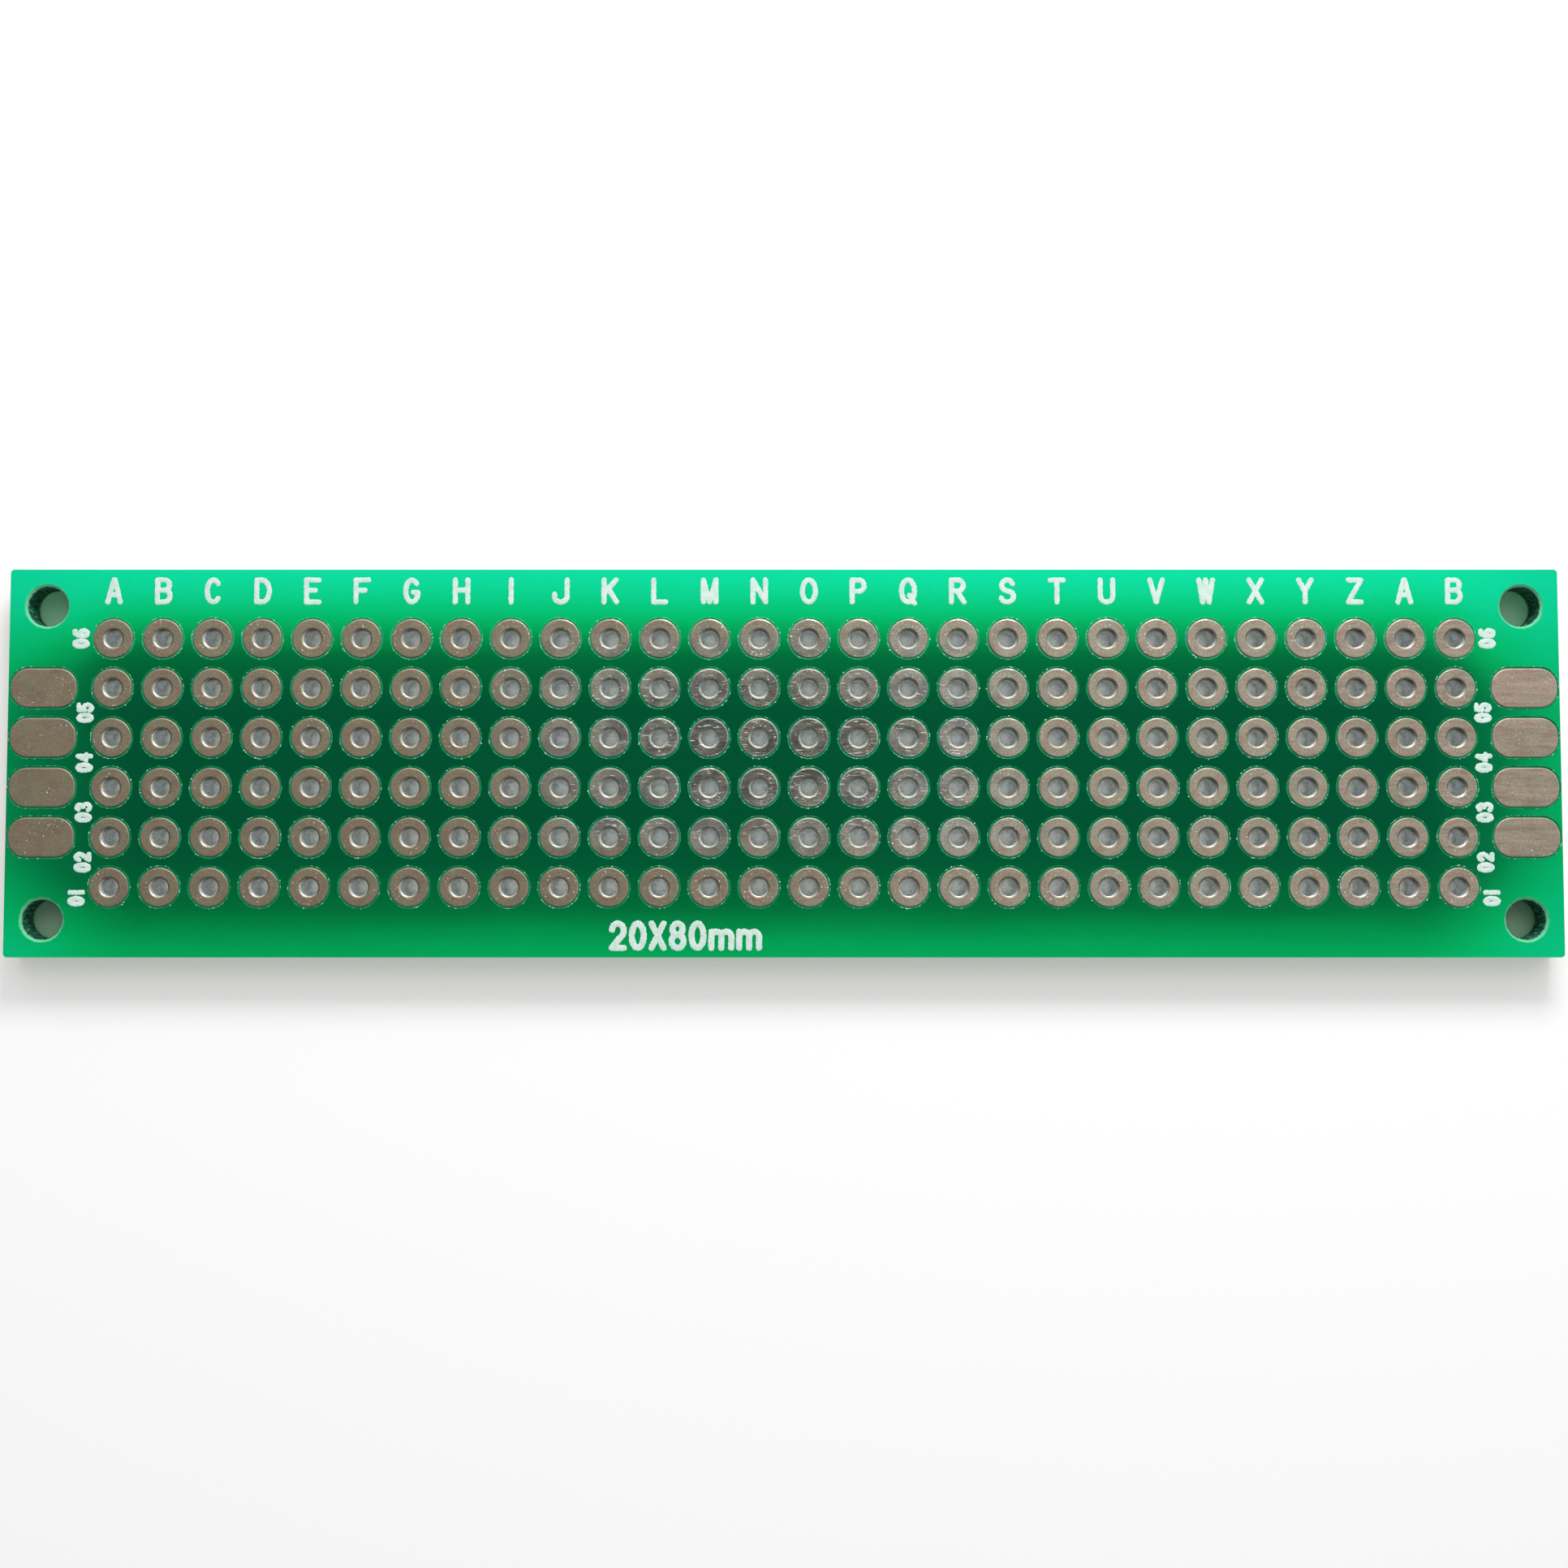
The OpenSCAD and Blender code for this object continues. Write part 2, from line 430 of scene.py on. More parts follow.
def lip_finish(lacquer):
    """Thin lacquer at the rim of an opening, paler than the rest and flecked, with a painted glow towards
    the lettered edge.
    """
    m = Finish("solder_mask_lip", Specular_IOR_Level=0.25, Specular_Tint=LACQUER_TINT)
    fleck = m.noise(m.place, 5.5, detail=2).step(0.56, 0.7)
    shade = m.mix(m.noise(m.place, 1.8, shift=5).step(0.35, 0.62), lacquer.middle, lacquer.edge)
    # Painted glow: the lips are painted brighter towards the lettered edge, like the lacquer
    shade = m.mix(m.y.step(4.0, 9.9), shade, lacquer.glow)
    shade = m.mix(fleck * 0.7, shade, lacquer.nib)
    m.drive("Base Color", shade)
    m.drive("Roughness", 0.25 + fleck * 0.2)
    m.bump(m.noise(m.place, 9), 0.6, 0.01)
    return m


def tin_tone_with_painted_reflection(m, tin, mottle, middle, right_end):
    """The tin's colour: a painted reflection that drifts from end to end and greys the middle columns, with
    clouds and wiped smears.
    """
    # Painted reflection: warm tin at the left turns pale towards the right, and grey over the middle columns
    shade = m.mix(m.x.step(-10, 8), tin.warm, tin.pale)
    shade = m.mix(middle, shade, tin.grey)
    shade = m.mix(mottle.step(0.46, 0.7) * 0.45, shade, tin.blush)
    cast = m.noise(m.place, 0.75, detail=1, shift=13)
    shade = m.mix(cast.step(0.56, 0.36) * (0.12 + middle * 0.4), shade, tin.slate)
    smear = m.noise(m.place, 1.1, (0.3, 3.2, 1), detail=2, roughness=0.6, shift=35)
    rosy = m.x.step(35.5, 36.5) * m.y.step(1, 4)
    shade = m.mix((smear.step(0.46, 0.66) * 0.6 + rosy * 0.4) * right_end, shade, tin.smear)
    return m.mix(smear.step(0.5, 0.32) * right_end * 0.35, shade, tin.blush)


def scratches_and_painted_glints(m, middle, right_end):
    """Up to 1 on painted glints (specks) and on scratches, which lie thickest in the middle and on the outer
    rows.
    """
    outer_row = abs(m.y).step(4.5, 6)
    rough_spot = m.noise(m.place, 0.9, detail=1, shift=11).step(0.48, 0.64) + outer_row * 0.4
    speck = m.noise(m.place, 8.5, detail=1, shift=21).step(0.65, 0.74) * rough_spot
    run = m.noise(m.place, 1.0, (2.4, 14, 1), detail=1, shift=31).step(0.62, 0.76)
    worn = m.noise(m.place, 0.8, detail=1, shift=41).step(0.64, 0.76 - middle * 0.16)
    scratch = run * worn * (0.3 + middle * 0.4 + right_end * 0.2)
    return (speck * (0.7 + middle * 0.3) + scratch).clamped()


def tin_finish(tin):
    """Hot-dipped tin: smooth but lumpy, scratched along the board, with painted glints, a painted reflection
    in its tone, and painted shade where a bore is shaded.
    """
    m = Finish("tinned_copper")
    # The middle columns of the middle rows, where the tin is painted greyer as painted reflection, and has
    # more clouds, brush marks and scratches
    middle = m.x.step(-17, -8) * m.x.step(15, 7) * m.y.step(-6, -3) * m.y.step(8, 4.5)
    right_end = m.x.step(18, 36)
    mottle = m.noise(m.place, 1.5, detail=3, roughness=0.6)
    grain = m.noise(m.place, 12, detail=2, roughness=0.65, shift=3)
    brushed = m.noise(m.place, 1.3, (0.9, 6, 1), detail=3, roughness=0.7, shift=17)
    bright = scratches_and_painted_glints(m, middle, right_end)
    shade = tin_tone_with_painted_reflection(m, tin, mottle, middle, right_end)
    shade = m.mix(grain.step(0.66, 0.3) * 0.34, shade, tin.grime)
    streaky = 0.08 + middle * 0.24 + right_end * 0.12
    shade = m.mix(brushed.step(0.5, 0.32) * streaky, shade, tin.grime)
    # Painted highlight: specks are painted near-white as glints; scratches are real wear painted just as
    # bright
    shade = m.mix(bright, shade, tin.glint)

    dx, dy, inside = m.lead_hole_offset()
    radius = distance(dx, dy)
    in_bore = (radius < LEAD_HOLE_R + 0.03) * inside
    mouth = radius.step(LEAD_HOLE_R + 0.13, LEAD_HOLE_R + 0.08) * inside
    wall = m.noise(m.place, 7, (1, 1, 0.4), detail=3, roughness=0.6, shift=27).step(0.3, 0.6)
    shade = m.mix(in_bore, shade, m.mix(wall * 0.45 + 0.55, tin.slate, tin.bore))
    shaded_side = dy + dx * (0.4 - m.x * 0.012)
    # Painted shade: the bore wall near the top, and the mouth, are painted dark on the side away from the
    # lamp
    shade = m.mix(in_bore * m.z.step(0.8, 1.5) * shaded_side.step(-0.1, 0.4), shade, tin.bore_painted_shade)
    shade = m.mix(mouth * (1 - in_bore) * shaded_side.step(-0.35, 0.1) * 0.6, shade, tin.bore_painted_shade)
    m.drive("Base Color", shade)
    dull = (mottle - 0.5) * 0.16 + (brushed - 0.5) * 0.2 + bright * 0.3 + mouth * 0.16 - middle * 0.06
    m.drive("Roughness", (tin.roughness + dull).clamped())
    # Matt, not metallic, high in each bore on the side that faces the lamp, so that the lamp lights a pale
    # crescent there
    matt_lamp_side = in_bore * m.z.step(1.05, 1.35) * (-shaded_side).step(-0.1, 0.25)
    m.drive("Metallic", 1 - bright * 0.7 - matt_lamp_side * 0.6 * (1 - bright))
    m.bump(grain * 0.5 + mottle, tin.grain * (1 - middle * 0.5), 0.008)
    return m


def laminate_finish(laminate):
    """Glass-fibre laminate: plies along the routed edge, drilled walls painted dark as shade, a pale broken
    rim at the upper face, a painted highlight line near the lower face.
    """
    m = Finish("glass_fibre_laminate", Specular_IOR_Level=0.3)
    ply = (m.z * (laminate.plies / (BOARD_HIGH.z - BOARD_LOW.z)) * math.tau).math("SINE") * 0.5 + 0.5
    bundle = m.noise(m.place, 2.2, (1, 1, 3.5), detail=4, roughness=0.7)
    speck = m.noise(m.place, 12, (1, 1, 2), detail=2, shift=5)
    weave = (ply * 0.45 + bundle * 0.8 - 0.2).clamped()
    shade = m.mix(weave, laminate.resin, laminate.fibre)
    shade = m.mix(speck.step(0.5, 0.3) * 0.5, shade, laminate.speck)
    radius = m.mount_hole_distance()
    streak = m.noise(m.place, 8, (1, 1, 0.3), detail=4, roughness=0.7, shift=7)
    # Painted shade: the wall of a drilled hole is painted dark, with paler torn fibres
    wall = m.mix(streak.step(0.46, 0.72), laminate.shade, laminate.streak)
    shade = m.mix(radius < MOUNT_HOLE_R + 0.3, shade, wall)
    fray = streak * 0.08
    # A pale line just above the lower face: a broken rim, painted paler as a highlight
    low_rim_highlight = (m.z - fray).step(MASK_BOTTOM + 0.24, MASK_BOTTOM + 0.18)
    high_rim = (m.z + fray).step(MASK_TOP - 0.1, MASK_TOP - 0.05)
    shade = m.mix((low_rim_highlight + high_rim).clamped() * 0.85, shade, laminate.rim)
    on_face = abs(m.z - BOARD_T / 2) > BOARD_HIGH.z - BOARD_T / 2 - 0.002
    # Painted glow: the bare ring is painted paler towards the lettered edge, like the lacquer
    face = m.mix(m.y.step(3, 9) * 0.35, laminate.face, laminate.rim)
    shade = m.mix(on_face, shade, face)
    m.drive("Base Color", shade)
    m.drive("Roughness", 0.55 + speck * 0.3)
    m.bump(bundle + speck * 0.5, 0.7, 0.03)
    return m


def ink_finish(legend):
    """Screen-printed ink, chalky and slightly uneven."""
    m = Finish("legend_ink", Specular_IOR_Level=0.2)
    cloud = m.noise(m.place, 2.6, detail=3)
    grain = m.noise(m.place, 14, detail=2, shift=3)
    shade = m.mix(cloud.step(0.35, 0.7) * 0.5, legend.ink, legend.thin)
    shade = m.mix(grain.step(0.55, 0.35) * 0.4, shade, legend.thin)
    m.drive("Base Color", shade)
    m.drive("Roughness", 0.55 + grain * 0.3)
    m.bump(grain + cloud, 0.5, 0.01)
    return m


# ---------------------------------------------------------------- repeated lips and nibs


class NodeTree(Tree):
    """A geometry tree with named inputs, which runs once on an empty mesh."""

    def __init__(self, name):
        self.group = bpy.data.node_groups.new(name, "GeometryNodeTree")
        self.group.interface.new_socket("Geometry", in_out="OUTPUT", socket_type="NodeSocketGeometry")
        super().__init__(self.group)
        self.entry = self.nodes.new("NodeGroupInput")
        self.values = {}
        self.result = None

    def take(self, name, value, kind="Float"):
        """A named input with its value for this board."""
        socket = self.group.interface.new_socket(
            name, in_out="INPUT", socket_type=f"NodeSocket{kind}"
        )
        self.values[socket.identifier] = value
        return Value(self, next(s for s in self.entry.outputs if s.identifier == socket.identifier))

    def join(self, *parts):
        return self.add("GeometryNodeJoinGeometry", {}, {0: list(parts)})

    def point(self, x=0.0, y=0.0, z=0.0):
        return self.add("ShaderNodeCombineXYZ", {}, {"X": x, "Y": y, "Z": z})

    def place(self, geometry, at):
        return self.add("GeometryNodeTransform", {}, {"Geometry": geometry, "Translation": at})

    def spread(self, geometry, columns, rows, step_x, step_y, at):
        """Copies of the geometry on a grid centred at a point."""
        grid = self.add(
            "GeometryNodeMeshGrid", {},
            {
                "Size X": (columns - 1) * step_x, "Size Y": (rows - 1) * step_y,
                "Vertices X": columns, "Vertices Y": rows,
            },
        )
        return self.add(
            "GeometryNodeInstanceOnPoints", {},
            {"Points": self.place(grid, at), "Instance": geometry},
        )

    def make(self, name, finish):
        """Runs the tree and returns its result as a plain mesh object with the finish."""
        end = self.nodes.new("NodeGroupOutput")
        material = self.take("Finish", finish.material, "Material")
        real = self.add("GeometryNodeRealizeInstances", {}, {0: self.result})
        done = self.add("GeometryNodeSetMaterial", {}, {"Geometry": real, "Material": material})
        self.links.new(done.socket, end.inputs[0])
        holder = bpy.data.objects.new(name, bpy.data.meshes.new(name))
        bpy.context.scene.collection.objects.link(holder)
        modifier = holder.modifiers.new(name, "NODES")
        modifier.node_group = self.group
        for identifier, value in self.values.items():
            modifier[identifier] = value
        evaluated = holder.evaluated_get(bpy.context.evaluated_depsgraph_get())
        mesh = bpy.data.meshes.new_from_object(evaluated)
        holder.modifiers.clear()
        holder.data = mesh
        if not mesh.polygons:
            raise RuntimeError(f"the node tree for {name} made nothing")
        return holder


def lip_section(t, width, rise):
    """Cross-section of a raised lip: a low ridge, open on the side of the lacquer."""
    return t.add(
        "GeometryNodeCurveQuadraticBezier", {},
        {
            "Resolution": 3, "Start": t.point(x=width * -0.5),
            "Middle": t.point(y=rise * -2), "End": t.point(x=width * 0.5),
        },
    )


def sweep(t, path, section):
    return t.add("GeometryNodeCurveToMesh", {}, {0: path, "Profile Curve": section})


def lips_tree(name, face_z, outwards, lacquer):
    """Raised lacquer round every opening of one face. outwards is 1 on the upper face, -1 on the lower."""
    t = NodeTree(name)
    pitch = t.take("Pitch", PITCH * MM)
    pad_r = t.take("Pad radius", PAD_R * MM)
    gap = t.take("Opening gap", lacquer.opening_gap)
    width = t.take("Lip width", lacquer.lip_w)
    rise = t.take("Lip rise", lacquer.lip_h * outwards)
    face = t.take("Face height", face_z * MM)
    columns = t.take("Columns", COLUMNS, "Int")
    rows = t.take("Rows", ROWS, "Int")
    edge_l = t.take("Edge pad length", (EDGE_PAD_HIGH.x - EDGE_PAD_LOW.x) * MM)
    edge_w = t.take("Edge pad width", (EDGE_PAD_HIGH.y - EDGE_PAD_LOW.y) * MM)
    edge_corner = t.take("Edge pad corner", EDGE_PAD_CORNER_R * MM)
    edge_x = t.take("Edge pad place", (EDGE_PAD_HIGH.x + EDGE_PAD_LOW.x) / 2 * MM)
    edge_rows = t.take("Edge pad rows", EDGE_PAD_ROWS, "Int")
    section = lip_section(t, width, rise)
    ring = t.add(
        "GeometryNodeCurvePrimitiveCircle", {},
        {"Resolution": 30, "Radius": pad_r + gap + width * 0.5},
    )
    frame_line = t.add(
        "GeometryNodeCurvePrimitiveQuadrilateral", {},
        {"Width": edge_l + gap * 2 + width, "Height": edge_w + gap * 2 + width},
    )
    frame_line = t.add(
        "GeometryNodeFilletCurve", {"mode": "POLY"},
        {"Curve": frame_line, "Radius": edge_corner + gap + width * 0.5, "Count": 5},
    )
    t.result = t.join(
        t.spread(sweep(t, ring, section), columns, rows, pitch, pitch, t.point(z=face)),
        t.spread(sweep(t, frame_line, section), 2, edge_rows, edge_x * 2, pitch, t.point(z=face)),
    )
    return t


# The ring round each opening that nibs lie on, and the size of the largest nib, in millimetres
NIB_BAND_INSET = 0.02
NIB_BAND_W = 0.05
NIB_BAND_MIDDLE = PAD_R + 0.08
NIB_R = 0.05


def nibs_tree(name, face_z, lacquer):
    """Tiny dried drops of lacquer on the rims of one face's openings."""
    t = NodeTree(name)
    pitch = t.take("Pitch", PITCH * MM)
    inner = t.take("Inner radius", PAD_R * MM + lacquer.opening_gap - NIB_BAND_INSET * MM)
    reach = t.take("Reach", NIB_BAND_W * MM)
    face = t.take("Face height", face_z * MM)
    count = t.take("Nibs", lacquer.nibs, "Int")
    seed = t.take("Seed", lacquer.seed, "Int")
    size = t.take("Nib size", NIB_R * MM)
    band = t.add("GeometryNodeCurvePrimitiveLine", {}, {"Start": (0, 0, 0), "End": t.point(x=reach)})
    ring = t.add("GeometryNodeCurvePrimitiveCircle", {}, {"Resolution": 20, "Radius": inner + reach * 0.5})
    rings = t.spread(sweep(t, ring, band), COLUMNS, ROWS, pitch, pitch, t.point(z=face))
    real = t.add("GeometryNodeRealizeInstances", {}, {0: rings})
    area = COLUMNS * ROWS * math.tau * NIB_BAND_MIDDLE * NIB_BAND_W * MM * MM
    spots = t.add(
        "GeometryNodeDistributePointsOnFaces", {},
        {"Mesh": real, "Density": count / area, "Seed": seed},
    )
    nib = t.add("GeometryNodeMeshIcoSphere", {}, {"Radius": size, "Subdivisions": 1})
    spread = t.add("FunctionNodeRandomValue", {"data_type": "FLOAT"}, {2: 0.25, 3: 1.0, "Seed": seed}, 1)
    flat = t.point(x=spread, y=spread * 0.8, z=spread * 0.3)
    t.result = t.add(
        "GeometryNodeInstanceOnPoints", {}, {"Points": spots, "Instance": nib, "Scale": flat}
    )
    return t


# ---------------------------------------------------------------- printed legend


def arc(cx, cy, rx, ry, start, end):
    """Points along an oval, from one angle to another in degrees."""
    steps = max(4, round(abs(end - start) / 18))
    angles = np.radians(np.linspace(start, end, steps + 1))
    return [(cx + rx * math.cos(a), cy + ry * math.sin(a)) for a in angles]


# Each character's strokes in a unit box, with rounds as arcs
GLYPHS = {
    "A": [[(0, 0), (0.46, 1), (0.54, 1), (1, 0)], [(0.2, 0.32), (0.8, 0.32)]],
    "B": [
        [(0, 0), (0, 1), *arc(0.55, 0.77, 0.4, 0.23, 90, -90), (0, 0.54)],
        [(0, 0), *arc(0.55, 0.27, 0.45, 0.27, -90, 90)],
    ],
    "C": [arc(0.5, 0.5, 0.5, 0.5, 42, 318)],
    "D": [[(0, 0), (0, 1), *arc(0.4, 0.5, 0.6, 0.5, 90, -90), (0, 0)]],
    "E": [[(1, 1), (0, 1), (0, 0), (1, 0)], [(0, 0.53), (0.7, 0.53)]],
    "F": [[(1, 1), (0, 1), (0, 0)], [(0, 0.53), (0.72, 0.53)]],
    "G": [[*arc(0.5, 0.5, 0.5, 0.5, 42, 350), (0.95, 0.44), (0.6, 0.44)]],
    "H": [[(0, 0), (0, 1)], [(1, 0), (1, 1)], [(0, 0.54), (1, 0.54)]],
    "I": [[(0.5, 0), (0.5, 1)]],
    "J": [[(1, 1), *arc(0.5, 0.25, 0.5, 0.25, 0, -180), (0, 0.35)]],
    "K": [[(0, 0), (0, 1)], [(0.95, 1), (0, 0.4)], [(0.33, 0.6), (1, 0)]],
    "L": [[(0, 1), (0, 0), (0.95, 0)]],
    "M": [[(0, 0), (0, 1), (0.5, 0), (1, 1), (1, 0)]],
    "N": [[(0, 0), (0, 1), (1, 0), (1, 1)]],
    "O": [arc(0.5, 0.5, 0.52, 0.5, 0, 360)],
    "P": [[(0, 0), (0, 1), *arc(0.5, 0.74, 0.45, 0.26, 90, -90), (0, 0.48)]],
    "Q": [arc(0.5, 0.5, 0.52, 0.5, 0, 360), [(0.6, 0.3), (1, -0.05)]],
    "R": [
        [(0, 0), (0, 1), *arc(0.5, 0.75, 0.45, 0.25, 90, -90), (0, 0.5)],
        [(0.45, 0.5), (1, 0)],
    ],
    "S": [[*arc(0.5, 0.75, 0.44, 0.25, 20, 235), *arc(0.5, 0.25, 0.5, 0.25, 55, -165)]],
    "T": [[(0, 1), (1, 1)], [(0.5, 1), (0.5, 0)]],
    "U": [[(0, 1), *arc(0.5, 0.28, 0.5, 0.28, 180, 360), (1, 1)]],
    "V": [[(0, 1), (0.5, 0), (1, 1)]],
    "W": [[(-0.05, 1), (0.25, 0), (0.5, 1), (0.75, 0), (1.05, 1)]],
    "X": [[(0, 0), (1, 1)], [(0, 1), (1, 0)]],
    "Y": [[(0, 1), (0.5, 0.48), (1, 1)], [(0.5, 0.48), (0.5, 0)]],
    "Z": [[(0, 1), (1, 1), (0, 0), (1, 0)]],
    "0": [arc(0.5, 0.5, 0.5, 0.5, 0, 360)],
    "1": [[(0.2, 0), (0.2, 1)]],
    "2": [[*arc(0.5, 0.7, 0.5, 0.3, 170, -25), (0, 0), (1, 0)]],
    "3": [[*arc(0.45, 0.76, 0.45, 0.24, 150, -80), *arc(0.45, 0.27, 0.55, 0.27, 80, -150)]],
    "4": [[(0.7, 0), (0.7, 1), (0, 0.36), (1, 0.36)]],
    "5": [[(0.95, 1), (0.1, 1), (0.05, 0.55), *arc(0.45, 0.31, 0.55, 0.31, 110, -150)]],
    "6": [arc(0.5, 0.3, 0.5, 0.3, 0, 360), [*arc(0.7, 0.45, 0.7, 0.55, 180, 90), (0.9, 0.97)]],
    "8": [arc(0.5, 0.77, 0.42, 0.23, 0, 360), arc(0.5, 0.27, 0.5, 0.27, 0, 360)],
    "m": [
        [(0, 0), (0, 1)],
        [(0, 0.7), *arc(0.25, 0.72, 0.25, 0.28, 180, 0), (0.5, 0)],
        [(0.5, 0.7), *arc(0.75, 0.72, 0.25, 0.28, 180, 0), (1, 0)],
    ],
}


# Places and sizes of the printed marks, in millimetres
CORNER_NUMBER_X = 35.94
NUMBER_X = 35.66
FIRST_NUMBER_DROP = 0.44
SIZE_MARK_X, SIZE_MARK_Y = -5, -8.8
SIZE_SPACE = 0.09
CAPITAL_W = 0.92
SMALL_M_W = 1.32

# Height of a small letter against a capital's
SMALL_SHARE = 0.73

# Spacing of the grid that the ink's outline is traced on, and how deep the ink sinks into the lacquer
INK_STEP = 0.04
INK_SUNK = 0.004

# Width of the ink's sloping shoulder, as a share of the stroke
INK_SHOULDER = 0.32


class Mark:
    """One printed character: where its box begins, its size and stroke, and its turn on the board."""

    def __init__(self, character, corner, width, height, stroke, turned=False):
        self.stroke = stroke
        self.strokes = []
        inner_w, inner_h = width - stroke, height - stroke
        for line in GLYPHS[character]:
            points = np.array(line) * (inner_w, inner_h) + stroke / 2
            if turned:
                points = points[:, ::-1] * (-1, 1)
            self.strokes.append(points + corner)


def ink_field(mark, ragged, rng):
    """Grid over one mark, with each point's distance outside the ink's frayed edge."""
    starts = np.concatenate([line[:-1] for line in mark.strokes])
    runs = np.concatenate([line[1:] - line[:-1] for line in mark.strokes])
    margin = mark.stroke / 2 + ragged + 2 * INK_STEP
    low = np.minimum(starts, starts + runs).min(0) - margin
    high = np.maximum(starts, starts + runs).max(0) + margin
    lines = [np.arange(low[axis], high[axis], INK_STEP) for axis in (0, 1)]
    grid = np.stack(np.meshgrid(*lines, indexing="ij"), axis=-1)[:, :, None]
    share = ((grid - starts) * runs).sum(-1) / np.maximum((runs**2).sum(-1), 1e-12)
    nearest = starts + np.clip(share, 0, 1)[..., None] * runs
    away = np.linalg.norm(grid - nearest, axis=-1).min(-1)
    return grid[:, :, 0], away - mark.stroke / 2 + rng.uniform(-ragged, ragged, away.shape)


def film(grid, field, base, thickness, shoulder):
    """Points and faces of a closed film where the field is below 0, thinning towards its edge.

    Points come in pairs: the upper one first, and the one below it straight after.
    """
    points, faces, known = [], [], {}

    def vertex(a, b):
        """The grid point a if b is None, or the edge crossing between a and b."""
        key = (a, b) if b is None or a < b else (b, a)
        if key not in known:
            if b is None:
                place, depth = grid[a], -field[a]
            else:
                share = field[a] / (field[a] - field[b])
                place, depth = grid[a] * (1 - share) + grid[b] * share, 0
            rise = thickness * (0.35 + 0.65 * math.sqrt(min(1, depth / shoulder)))
            known[key] = len(points)
            points.append((*place, base + rise))
            points.append((*place, base))
        return known[key]

    for i in range(field.shape[0] - 1):
        for j in range(field.shape[1] - 1):
            corners = [(i, j), (i + 1, j), (i + 1, j + 1), (i, j + 1)]
            if all(field[c] >= 0 for c in corners):
                continue
            outline = []
            for a, b in zip(corners, corners[1:] + corners[:1]):
                if field[a] < 0:
                    outline.append((vertex(a, None), False))
                if (field[a] < 0) != (field[b] < 0):
                    outline.append((vertex(a, b), field[a] < 0))
            faces.append([v for v, _ in outline])
            faces.append([v + 1 for v, _ in reversed(outline)])
            for (a, leaves), (b, _) in zip(outline, outline[1:] + outline[:1]):
                if leaves:
                    faces.append([b, a, a + 1, b + 1])
    return points, faces


def print_marks(name, marks, legend, seed):
    """One piece of ink for a group of marks on the component side."""
    rng = np.random.default_rng(seed)
    base, thickness = MASK_TOP - INK_SUNK, legend.ink_t / MM + INK_SUNK
    all_points, all_faces = [], []
    for mark in marks:
        grid, field = ink_field(mark, legend.ragged / MM, rng)
        points, faces = film(grid, field, base, thickness, mark.stroke * INK_SHOULDER)
        first = len(all_points)
        all_points += [tuple(c * MM for c in point) for point in points]
        all_faces += [[first + v for v in face] for face in faces]
    mesh = bpy.data.meshes.new(name)
    mesh.from_pydata(all_points, [], all_faces)
    mesh.validate()
    piece = bpy.data.objects.new(name, mesh)
    bpy.context.scene.collection.objects.link(piece)
    paint(piece, ink_finish(legend))
    settle(piece)


def column_marks(legend):
    """A letter above each column, which begins the alphabet again after Z."""
    w, h = legend.letter_w / MM, legend.letter_h / MM
    letters = string.ascii_uppercase
    return [
        Mark(
            letters[column % len(letters)],
            (FIRST_HOLE.x + column * PITCH - w / 2, legend.letter_line / MM - h / 2),
            w, h, legend.letter_stroke / MM,
        )
        for column in range(COLUMNS)
    ]


def row_marks(legend):
    """Each row's number at both ends, read from the right-hand side."""
    w, h = legend.digit_w / MM, legend.digit_h / MM
    marks = []
    for side in (-1, 1):
        for row in range(1, ROWS + 1):
            outer = row in (1, ROWS)
            x = side * (CORNER_NUMBER_X if outer else NUMBER_X)
            y = FIRST_HOLE.y + (row - 1) * PITCH
            if row == 1:
                y -= FIRST_NUMBER_DROP
            elif not outer:
                y -= PITCH / 2
            for place, digit in enumerate(f"{row:02d}"):
                corner = (x + h / 2, y + (place - 1) * w)
                marks.append(Mark(digit, corner, w, h, legend.digit_stroke / MM, turned=True))
    return marks


def size_marks(legend):
    """The board's nominal size below the pads, in whole millimetres."""
    text = f"{round(2 * HALF_W, -1):.0f}X{round(2 * HALF_L, -1):.0f}mm"
    h, stroke = legend.size_h / MM, legend.size_stroke / MM
    widths = [SMALL_M_W if character == "m" else CAPITAL_W for character in text]
    total = sum(widths) + SIZE_SPACE * (len(text) - 1)
    x, y = SIZE_MARK_X - total / 2, SIZE_MARK_Y - h / 2
    marks = []
    for character, width in zip(text, widths):
        tall = SMALL_SHARE if character == "m" else 1
        marks.append(Mark(character, (x, y), width, h * tall, stroke))
        x += width + SIZE_SPACE
    return marks


# ---------------------------------------------------------------- stage


# Half the table's side, and the lamp's place and size, in metres
FLOOR_HALF = 3.0
LAMP_PLACE = Vector((0.028, 0.132, 0.08))
LAMP_SIZE = (0.07, 0.04)

# How far the table lies below the board, and where the camera looks along Y, in millimetres
FLOOR_DROP = 0.02
AIM_Y = -1.1


def stage_is_seen(t):
    """1 for rays that look at the stage directly, in a mirror or through glass."""
    camera, glossy, through = (
        t.add("ShaderNodeLightPath", output=f"Is {kind} Ray")
        for kind in ("Camera", "Glossy", "Transmission")
    )
    return (camera + glossy + through).clamped()


